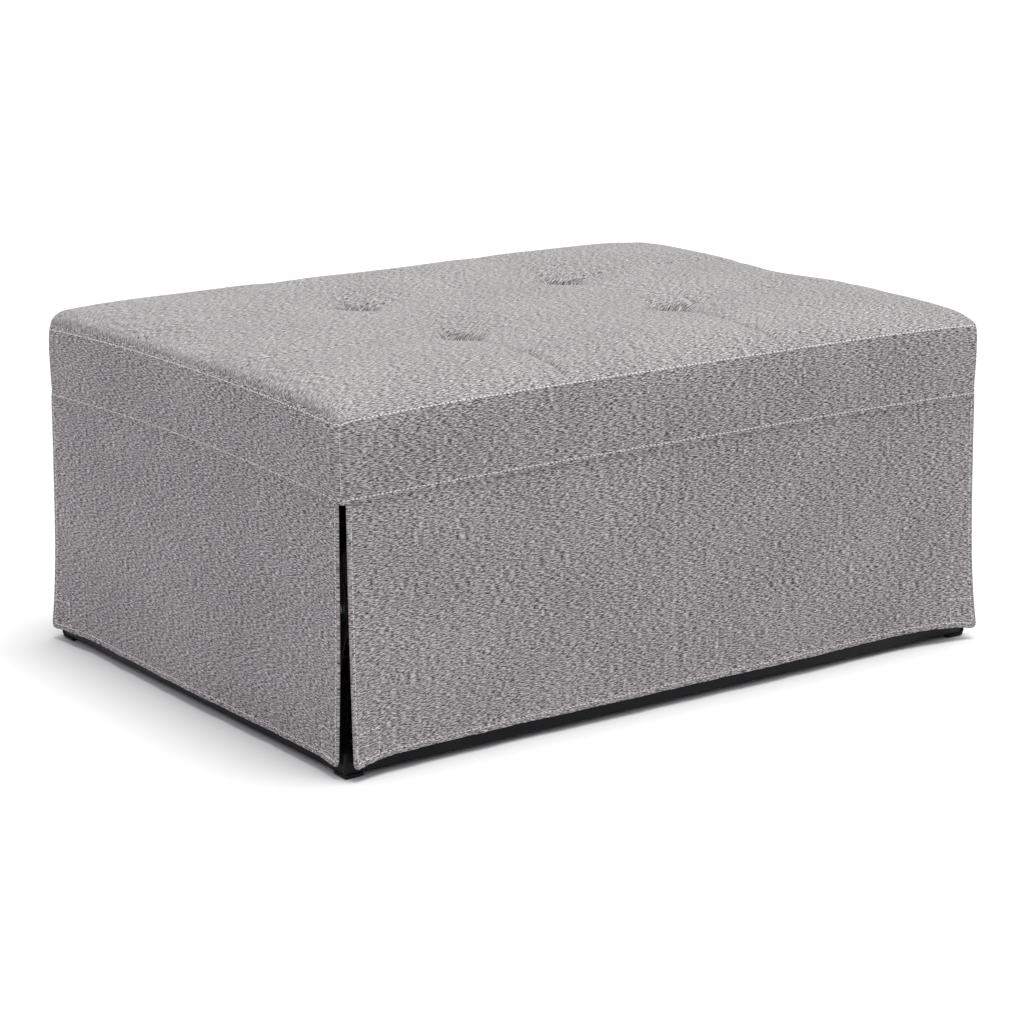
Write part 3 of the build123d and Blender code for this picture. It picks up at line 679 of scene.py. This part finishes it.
# How the corners stand out down the panel: share and power. Small ripples: depth, waves, and drift down it
stand_shares, ripples = ((0.45, 1.2), (0.55, 4)), ((0.0004, 61, 0), (0.0003, 113, 9))
turned_hem, turned_edge, turn_past, turn_thickness = 0.0075, 0.0065, 0.0006, 0.0007
stitch_in, stitch_dip, dip_width = 0.0012, 0.0005, 0.0011
hem_round, hem_round_reach, lip_out = 0.008, 0.016, 0.0005
square, square_in, square_up, square_margin, square_rows = 0.032, 0.0062, 0.0065, 0.001, 7
corner_fall = hinge_height - 0.016
panel_map_apart = 0.7

# Of each panel: the hem's height in its middle, how far the near and far lower corners stand out,
# how far they reach past the panel's end, how far the ends are drawn in all the way down,
# and the waves: share along the panel, width, depth, and share down the panel with its spread
panels = (
    Panel(
        name="front", turn=0, half=half_front, face=skirt_face[1], hem=0.0218,
        stands=(0.012, 0.017), reaches=(0.002, 0.004), draws=(0.006, 0.0),
        waves=((-0.72, 0.07, 0.0012, 1, 0.5), (-0.48, 0.045, -0.0035, 0.55, 0.4),
               (-0.2, 0.08, 0.0015, 0.6, 0.5), (0.3, 0.09, 0.0016, 1, 0.5), (0.7, 0.06, -0.0015, 1, 0.5)),
    ),
    Panel(
        name="right", turn=90, half=half_side, face=skirt_face[0], hem=0.020,
        stands=(0.006, 0.009), reaches=(0.0, 0.002), draws=(0.003, 0.002),
        waves=((-0.5, 0.08, 0.0014, 1, 0.5), (0.1, 0.07, -0.0015, 1, 0.5), (0.6, 0.06, 0.0012, 0.7, 0.5)),
    ),
    Panel(
        name="back", turn=180, half=half_front, face=skirt_face[1], hem=0.0215,
        stands=(0.010, 0.010), reaches=(0.002, 0.0), draws=(0.002, 0.003),
        waves=((-0.6, 0.09, 0.0015, 1, 0.5), (0.0, 0.1, -0.0012, 0.7, 0.5), (0.55, 0.08, 0.0016, 1, 0.5)),
    ),
    Panel(
        name="left", turn=270, half=half_side, face=skirt_face[0], hem=0.0182,
        stands=(0.009, 0.0035), reaches=(0.006, -0.002), draws=(0.0, 0.0045),
        waves=((-0.86, 0.013, 0.004, 0.62, 0.3), (-0.74, 0.03, -0.0016, 0.8, 0.4),
               (0.0, 0.09, 0.0014, 0.9, 0.5), (0.5, 0.011, 0.0042, 0.3, 0.22),
               (0.6, 0.012, -0.0012, 0.3, 0.25), (0.69, 0.01, 0.0042, 0.28, 0.2)),
    ),
)


def turned_by(points, degrees):
    """Points turned about the upright axis."""
    c, s = np.cos(radians(degrees)), np.sin(radians(degrees))
    x, y = points[..., 0], points[..., 1]
    return np.stack([x * c - y * s, x * s + y * c, points[..., 2]], -1)


def hem_line(panel, side):
    """The hem's height: lowest at both ends, and higher within a hand's width of them."""
    from_end = panel.half - np.abs(side)
    return panel.hem - (panel.hem - hem_end_height) * np.exp(-((from_end / hem_end_reach) ** 1.3))


def hanging(panel, side, share, proud=0.0):
    """A panel's outer face before it is turned: side along it, share down it, and raised by proud."""
    height = hinge_height - share * (hinge_height - hem_line(panel, side))
    fall = np.clip(share, 0, 1)
    out = belly * fall ** 1.5 * (1 - (side / panel.half) ** 2) - tuck_in * np.clip(-share / tuck_share, 0, 1)
    reach = 0.0
    for way, stand, further, draw in zip((-1, 1), panel.stands, panel.reaches, panel.draws):
        near = np.clip(1 - (panel.half - way * side) / corner_reach, 0, 1) ** 2
        out = out + stand * near * sum(part * fall ** power for part, power in stand_shares)
        reach = reach + way * near * (further * fall ** 5 - draw)
    for place, width, depth, centre, length in panel.waves:
        along, down = (side - place * panel.half) / width, (fall - centre) / length
        out = out + depth * np.exp(-along ** 2 - down ** 2) * np.clip(fall / wave_start, 0, 1)
    for depth, often, drift in ripples:
        out = out + depth * np.sin(side * often + share * drift + panel.turn) * fall
    return np.stack([side + reach, -panel.face - out - proud, height], -1)


def hem_swell(panel, side, share):
    """How far the turned hem and edges stand out, with a dip along their stitching."""
    up = (1 - share) * (hinge_height - hem_line(panel, side))
    turned, dip = [], 0
    for from_edge, depth in ((up, turned_hem), (panel.half - np.abs(side), turned_edge)):
        turned.append(0.5 - 0.5 * np.tanh((from_edge - depth - turn_past) / turn_thickness))
        dip = dip + np.exp(-(((from_edge - depth + stitch_in) / dip_width) ** 2))
    return turn_thickness * np.maximum(*turned) - stitch_dip * np.clip(dip, 0, 1)


def spread(low, high, step, near_low, near_high):
    """Places from low to high about a step apart, with these extra ones near each end."""
    start, end = low + near_low[-1] + step, high - near_high[-1] - step
    middle = np.linspace(start, end, max(2, int(round((end - start) / step)) + 1))
    return np.concatenate([low + near_low, middle, (high - near_high)[::-1]])


def skirt_square(panel, way, start):
    """The square inside one lower corner: its points, its faces numbered from start, and its map."""
    across = np.linspace(0, square + 2 * square_margin, square_rows)
    sides = way * (panel.half - square_in + square_margin - across)
    shares = 1 - (square_up - square_margin + across) / corner_fall
    side, share = np.meshgrid(sides, shares, indexing="ij")
    front = hanging(panel, side, share, -skirt_cloth - 0.0008)
    rear = hanging(panel, side, share, -2 * skirt_cloth)
    grid = start + np.arange(side.size).reshape(side.shape)
    edge = border_of(grid)
    faces = cells_of(grid), cells_of(grid + side.size, over=False), belt(edge, edge + side.size)
    flat = np.stack([share * (hinge_height - panel.hem), side + panel_map_apart], -1).reshape(-1, 2)
    return np.concatenate([front, rear]).reshape(-1, 3), np.concatenate(faces), np.concatenate([flat, flat])


cell_along, cell_down = 0.006, 0.009
hem_steps = np.array([0, 0.0007, 0.002, 0.0042, 0.0053, 0.0062, 0.0071, 0.0082, 0.011, 0.016])
for panel in panels:
    fall = hinge_height - panel.hem
    sides = spread(-panel.half, panel.half, cell_along, hem_steps, hem_steps)
    top_steps, low_steps = np.array([0, 0.003 / fall]), hem_steps * 1.1 / fall
    shares = spread(-skirt_tuck / fall, 1, cell_down / fall, top_steps, low_steps)
    side, share = np.meshgrid(sides, shares, indexing="ij")

    # The lower corners are rounded: there the edge is drawn in near the hem
    from_round = np.clip(hem_round - (1 - share) * fall, 0, None)
    short = hem_round - np.sqrt(hem_round ** 2 - from_round ** 2)
    drawing = short * np.clip(1 - (panel.half - np.abs(side)) / hem_round_reach, 0, 1)
    drawn = np.sign(side) * np.maximum(np.abs(side) - drawing, 0)

    swell = hem_swell(panel, side, share)
    outer = hanging(panel, drawn, share, swell).reshape(-1, 3)
    inner = hanging(panel, drawn, share, -skirt_cloth - swell * 0.6).reshape(-1, 3)
    size = side.size
    grid = np.arange(size).reshape(side.shape)
    edge = border_of(grid)
    edge_side, edge_share = side.ravel()[edge], share.ravel()[edge]
    beyond = np.zeros((len(edge), 3))
    beyond[:, 0] = np.sign(edge_side) * (np.abs(np.abs(edge_side) - panel.half) < 1e-9)
    beyond[:, 2] = -1.0 * (np.abs(edge_share - 1) < 1e-9)
    lip = hanging(panel, drawn, share, -skirt_cloth / 2).reshape(-1, 3)[edge] + beyond * lip_out
    lip_numbers = 2 * size + np.arange(len(edge))
    points = np.concatenate([outer, inner, lip])
    faces = [
        cells_of(grid, over=False), cells_of(grid + size),
        belt(lip_numbers, edge), belt(edge + size, lip_numbers),
    ]
    flat = np.stack([side + panel_map_apart * panel.turn / 90, share * fall], -1).reshape(-1, 2)
    flat = np.concatenate([flat, flat, flat[edge]])
    for way in (-1, 1):
        square_points, square_faces, square_flat = skirt_square(panel, way, len(points))
        points, flat = np.concatenate([points, square_points]), np.concatenate([flat, square_flat])
        faces.append(square_faces)

    skirt = piece(f"{panel.name}_skirt_panel", turned_by(points, panel.turn), np.concatenate(faces), cloth)
    mapped(skirt, [flat[v] for f in skirt.data.polygons for v in f.vertices])
    bpy.context.view_layer.objects.active = skirt
    bpy.ops.object.select_all(action="DESELECT")
    skirt.select_set(True)
    bpy.ops.object.mode_set(mode="EDIT")
    bpy.ops.mesh.select_all(action="SELECT")
    bpy.ops.mesh.normals_make_consistent(inside=False)
    bpy.ops.object.mode_set(mode="OBJECT")
    panel.hinge = turned_by(np.array([0, -panel.face, hinge_height]), panel.turn)
    panel.bent = panel.hinge - (0, 0, skirt_bend)
    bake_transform(skirt)
    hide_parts(f"{panel.name}_skirt", f"{panel.name}_skirt_patches")

# Stitching: pale thread in even lock stitches a few millimetres long, each drawn down at its ends.
# It runs along the cover's seams and the skirt's hems and edges, and round the squares.
thread_dark, thread_pale = (0.88, 0.87, 0.86), (0.98, 0.97, 0.96)
stitch_pitch, stitch_length, thread_radius, thread_sides = 0.0056, 0.0039, 0.00045, 6
# How thick the thread is along each line, in radii
seam_size, seam_side_size, band_size, band_side_size, corner_size, hem_size = 2.1, 1.2, 1.7, 1.2, 0.8, 1.3
seam_stitch_down, seam_stitch_further, band_stitch_up = 0.0014, 0.0034, 0.0052
corner_stitch_ends = (0.006, 0.007)
edge_places, hem_places, square_places = 60, 240, 8
# Along a stitch: the place as a share of its length, and its thickness and lift as shares of the radius
stations = ((-0.5, 0.12, -0.6), (-0.32, 0.85, 0.35), (0, 1.0, 0.7), (0.32, 0.85, 0.35), (0.5, 0.12, -0.6))

thread, wire = material("thread", Roughness=0.75, Sheen_Weight=0.2)
ply = wire.on_object().scaled(1800, 1800, 1800).noise(2.0)
wire.look(Base_Color=ply.ramp(0.3, 0.7).between(thread_dark, thread_pale))

numbers = np.arange(len(stations) * thread_sides).reshape(len(stations), thread_sides)
stitch_faces = [tuple(numbers[0][::-1]), tuple(numbers[-1])]
for here, ahead in zip(numbers, numbers[1:]):
    stitch_faces += list(np.stack([here, np.roll(here, -1), np.roll(ahead, -1), ahead], -1))


def along_line(run, values, places):
    """The values of a line's points at these places along its run."""
    return np.stack([np.interp(places, run, values[:, axis]) for axis in range(3)], 1)


def stitches(lines):
    """Points and faces of one lock stitch after another along each line.
    A line has its points, the cloth's outward directions there and the thread's sizes."""
    points, faces = [], []
    for line, outward, sizes in lines:
        run = np.concatenate([[0], np.cumsum(np.linalg.norm(np.diff(line, axis=0), axis=1))])
        places = np.arange(stitch_pitch / 2, run[-1], stitch_pitch)
        middle, out = along_line(run, line, places), unit(along_line(run, outward, places))
        ahead = unit(along_line(run, line, places + 0.001) - along_line(run, line, places - 0.001))
        across = np.cross(ahead, out)
        radii = thread_radius * np.interp(places, run, np.broadcast_to(sizes, len(line)))
        for k, radius in enumerate(radii):
            faces += [tuple(len(points) + i for i in face) for face in stitch_faces]
            for along, thick, high in stations:
                centre = middle[k] + ahead[k] * along * stitch_length + out[k] * high * radius
                for side in range(thread_sides):
                    angle = side * 2 * pi / thread_sides
                    spoke = across[k] * np.cos(angle) + out[k] * np.sin(angle)
                    points.append(centre + spoke * thick * radius)
    return points, faces


cushion_tree = BVHTree.FromObject(cushion, bpy.context.evaluated_depsgraph_get())


def on_cushion(line):
    """The line laid on the cushion's skin, with the skin's outward directions."""
    hits = [cushion_tree.find_nearest(Vector(p)) for p in line]
    return np.array([h[0] for h in hits]), np.array([h[1] for h in hits])


beside = np.abs(step_out[:, 0])
seam_line = seam_z - seam_stitch_down - seam_stitch_further * beside
lines = []
for height, share, sizes in (
    (seam_line, 0.04, seam_size + (seam_side_size - seam_size) * beside),
    (edge_z + band_stitch_up, 0.96, band_size + (band_side_size - band_size) * beside),
):
    line = np.column_stack([rim_points[:, :2] + step_out * (band_bulge(share) + 0.0004), height])
    lines.append((*on_cushion(np.concatenate([line, line[:1]])), np.append(sizes, sizes[0])))
heights = np.linspace(seam_height - corner_stitch_ends[0], band_edge_height + corner_stitch_ends[1], 20)
share = (seam_height - heights) / (seam_height - band_edge_height)
for outward in four_corners:
    corner = outward * (cover_half - cover_round * (1 - 2 ** -0.5))
    place = corner + outward / 2 ** 0.5 * band_bulge(share)[:, None]
    lines.append((*on_cushion(np.column_stack([place, heights])), corner_size))
cover_stitches = piece("cover_stitches", *stitches(lines), thread)
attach(cover_stitches, "cover")

for panel in panels:
    ends, low = panel.half - square_in, 1 - square_up / corner_fall
    high = 1 - (square_up + square) / corner_fall
    box = (ends, low), (ends - square, low), (ends - square, high), (ends, high)
    inner_end = panel.half - turned_edge + stitch_in
    routes = []
    for way in (-1, 1):
        last = 1 - (turned_hem - stitch_in) / (hinge_height - panel.hem)
        routes.append((np.full(edge_places, way * inner_end), np.linspace(0.01, last, edge_places)))
        for start, end in zip(box, box[1:]):
            sides, shares = np.linspace(start, end, square_places).T
            routes.append((way * sides, shares))
    sides = np.linspace(-inner_end, inner_end, hem_places)
    routes.append((sides, 1 - (turned_hem - stitch_in) / (hinge_height - hem_line(panel, sides))))
    lines = []
    for sides, shares in routes:
        swell = hem_swell(panel, sides, shares)
        line = hanging(panel, sides, shares, swell + 0.0001)
        down = hanging(panel, sides, shares + 0.004, swell) - hanging(panel, sides, shares - 0.004, swell)
        aside = hanging(panel, sides + 0.001, shares, swell) - hanging(panel, sides - 0.001, shares, swell)
        lines.append((turned_by(line, panel.turn), turned_by(np.cross(aside, -down), panel.turn), hem_size))
    sewn = piece(f"{panel.name}_skirt_stitches", *stitches(lines), thread)
    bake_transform(sewn)

# Mattresses: three foam slabs in a pale striped ticking, boxed, with a piped edge above and below.
# The foam is square to the deck and the cloth is quilted down in a wide grid.
stripe_pitch, stripe_colour, stripe_strength = 0.024, (0.33, 0.36, 0.41), 0.7
ticking_dark, ticking_pale = (0.58, 0.57, 0.55), (0.7, 0.69, 0.67)
mattress_half, mattress_round, mattress_flat_in = 0.44, 0.03, 0.012
slab, mattress_points = 0.062, (89, 63)
quilt_pitch, channel_depth, channel_width = 0.11, 0.0035, 0.006
piping_in, piping_height, piping_radius, piping_sides = 0.0035, 0.0262, 0.0035, 8
# Down the upper half of a mattress's side: how far in, and the height above its middle
upper_side = (
    (0.008, 0.0305), (0.005, 0.0288), (piping_in, piping_height),
    (0.004, 0.0235), (0.0022, 0.02), (0.0006, 0.01),
)
whole_side = (*upper_side, (0, 0), *((inset, -height) for inset, height in reversed(upper_side)))
turns = np.arange(piping_sides) * 2 * pi / piping_sides
cord_section = np.stack([np.cos(turns), np.sin(turns)], 1) * piping_radius

ticking, wire = material("ticking", Roughness=0.9, Specular_IOR_Level=0.25, Sheen_Weight=0.1)
at = wire.on_object()
stripe = at.part("X").wave(stripe_pitch).ramp(0.55, 0.8)
yarn = at.scaled(700, 260, 260).noise(2.0)
base = yarn.ramp(0.3, 0.7).between(ticking_dark, ticking_pale)
wire.look(Base_Color=(stripe * stripe_strength).between(base, stripe_colour))
wire.look(Normal=yarn.bump(0.35, 0.0004))


def outline(way, half_deep, inset):
    """The slab's outline with its round corners, drawn in by inset, at these shares of its half sizes."""
    half = np.array([mattress_half, half_deep])
    place = way * (half - inset)
    over = np.clip(np.abs(place) - half + mattress_round, 0, None)
    scale = np.where((over > 0).all(1), (mattress_round - inset) / np.maximum(np.hypot(*over.T), 1e-9), 1)
    return np.sign(place) * (np.minimum(np.abs(place), half - mattress_round) + over * scale[:, None])


for name, body, front, back, bottom in (
    ("base", "base_section", -0.323, 0.312, 0.135),
    ("middle", "middle_section", -0.323, 0.288, 0.198),
    ("top", "top_section", -0.323, 0.288, 0.3216),
):
    half_deep = (back - front) / 2
    middle = (0, (front + back) / 2, bottom + slab / 2)
    flat_half = mattress_half - mattress_flat_in, half_deep - mattress_flat_in
    x, y = np.meshgrid(*(np.linspace(-h, h, n) for h, n in zip(flat_half, mattress_points)), indexing="ij")
    from_channel = np.abs((np.stack([x, y]) / quilt_pitch + 0.5) % 1 - 0.5).min(0) * quilt_pitch
    channel = channel_depth * np.exp(-((from_channel / channel_width) ** 2))
    upper = np.stack([x, y, slab / 2 - channel], -1).reshape(-1, 3)
    grid = np.arange(x.size).reshape(x.shape)
    rim = border_of(grid)
    way = upper[rim, :2] / flat_half
    upper[rim, :2] = outline(way, half_deep, mattress_flat_in)

    points = [upper, upper * (1, 1, -1)]
    faces = [cells_of(grid), cells_of(grid + x.size, over=False)]
    above = rim
    for r, (inset, height) in enumerate(whole_side):
        points.append(np.column_stack([outline(way, half_deep, inset), np.full(len(rim), height)]))
        below = 2 * x.size + r * len(rim) + np.arange(len(rim))
        faces.append(belt(above, below))
        above = below
    faces.append(belt(above, rim + x.size))
    mattress = piece(f"{name}_mattress", np.concatenate(points) + middle, np.concatenate(faces), ticking)
    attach(mattress, body)
    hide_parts(f"{name}_mattress_ticking", f"{name}_mattress_core")

    line = outline(way, half_deep, piping_in)
    outward = unit(line - outline(way, half_deep, piping_in + 0.001))
    cords = []
    for height in (piping_height, -piping_height):
        rows = [
            [(*(place + away * out), height + up) for out, up in cord_section]
            for place, away in zip(line, outward)
        ]
        cord_points, cord_faces = hoops(rows)
        cords.append((cord_points + middle, cord_faces))
    piping = piece(f"{name}_mattress_piping", *together(cords), ticking)
    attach(piping, body)

# Tapes: woven webbing that ties each mattress to its deck's side rails.
# Each is a loop round the rail and a tail sewn to the mattress's side.
webbing_dark, webbing_pale = (0.018, 0.018, 0.02), (0.05, 0.05, 0.054)
rib_pitch, rib_length = 0.0016, 0.0022

webbing, wire = material("webbing", Roughness=0.85)
at = wire.on_object()
ribs = (at.part("X") + at.part("Z")).wave(rib_pitch) * at.part("Y").wave(rib_length)
wire.look(Base_Color=ribs.ramp(-1, 1).between(webbing_dark, webbing_pale))
wire.look(Normal=ribs.bump(0.5, 0.0003))
for section in ("base", "middle", "top"):
    dressed(webbing, f"{section}_mattress_tapes")
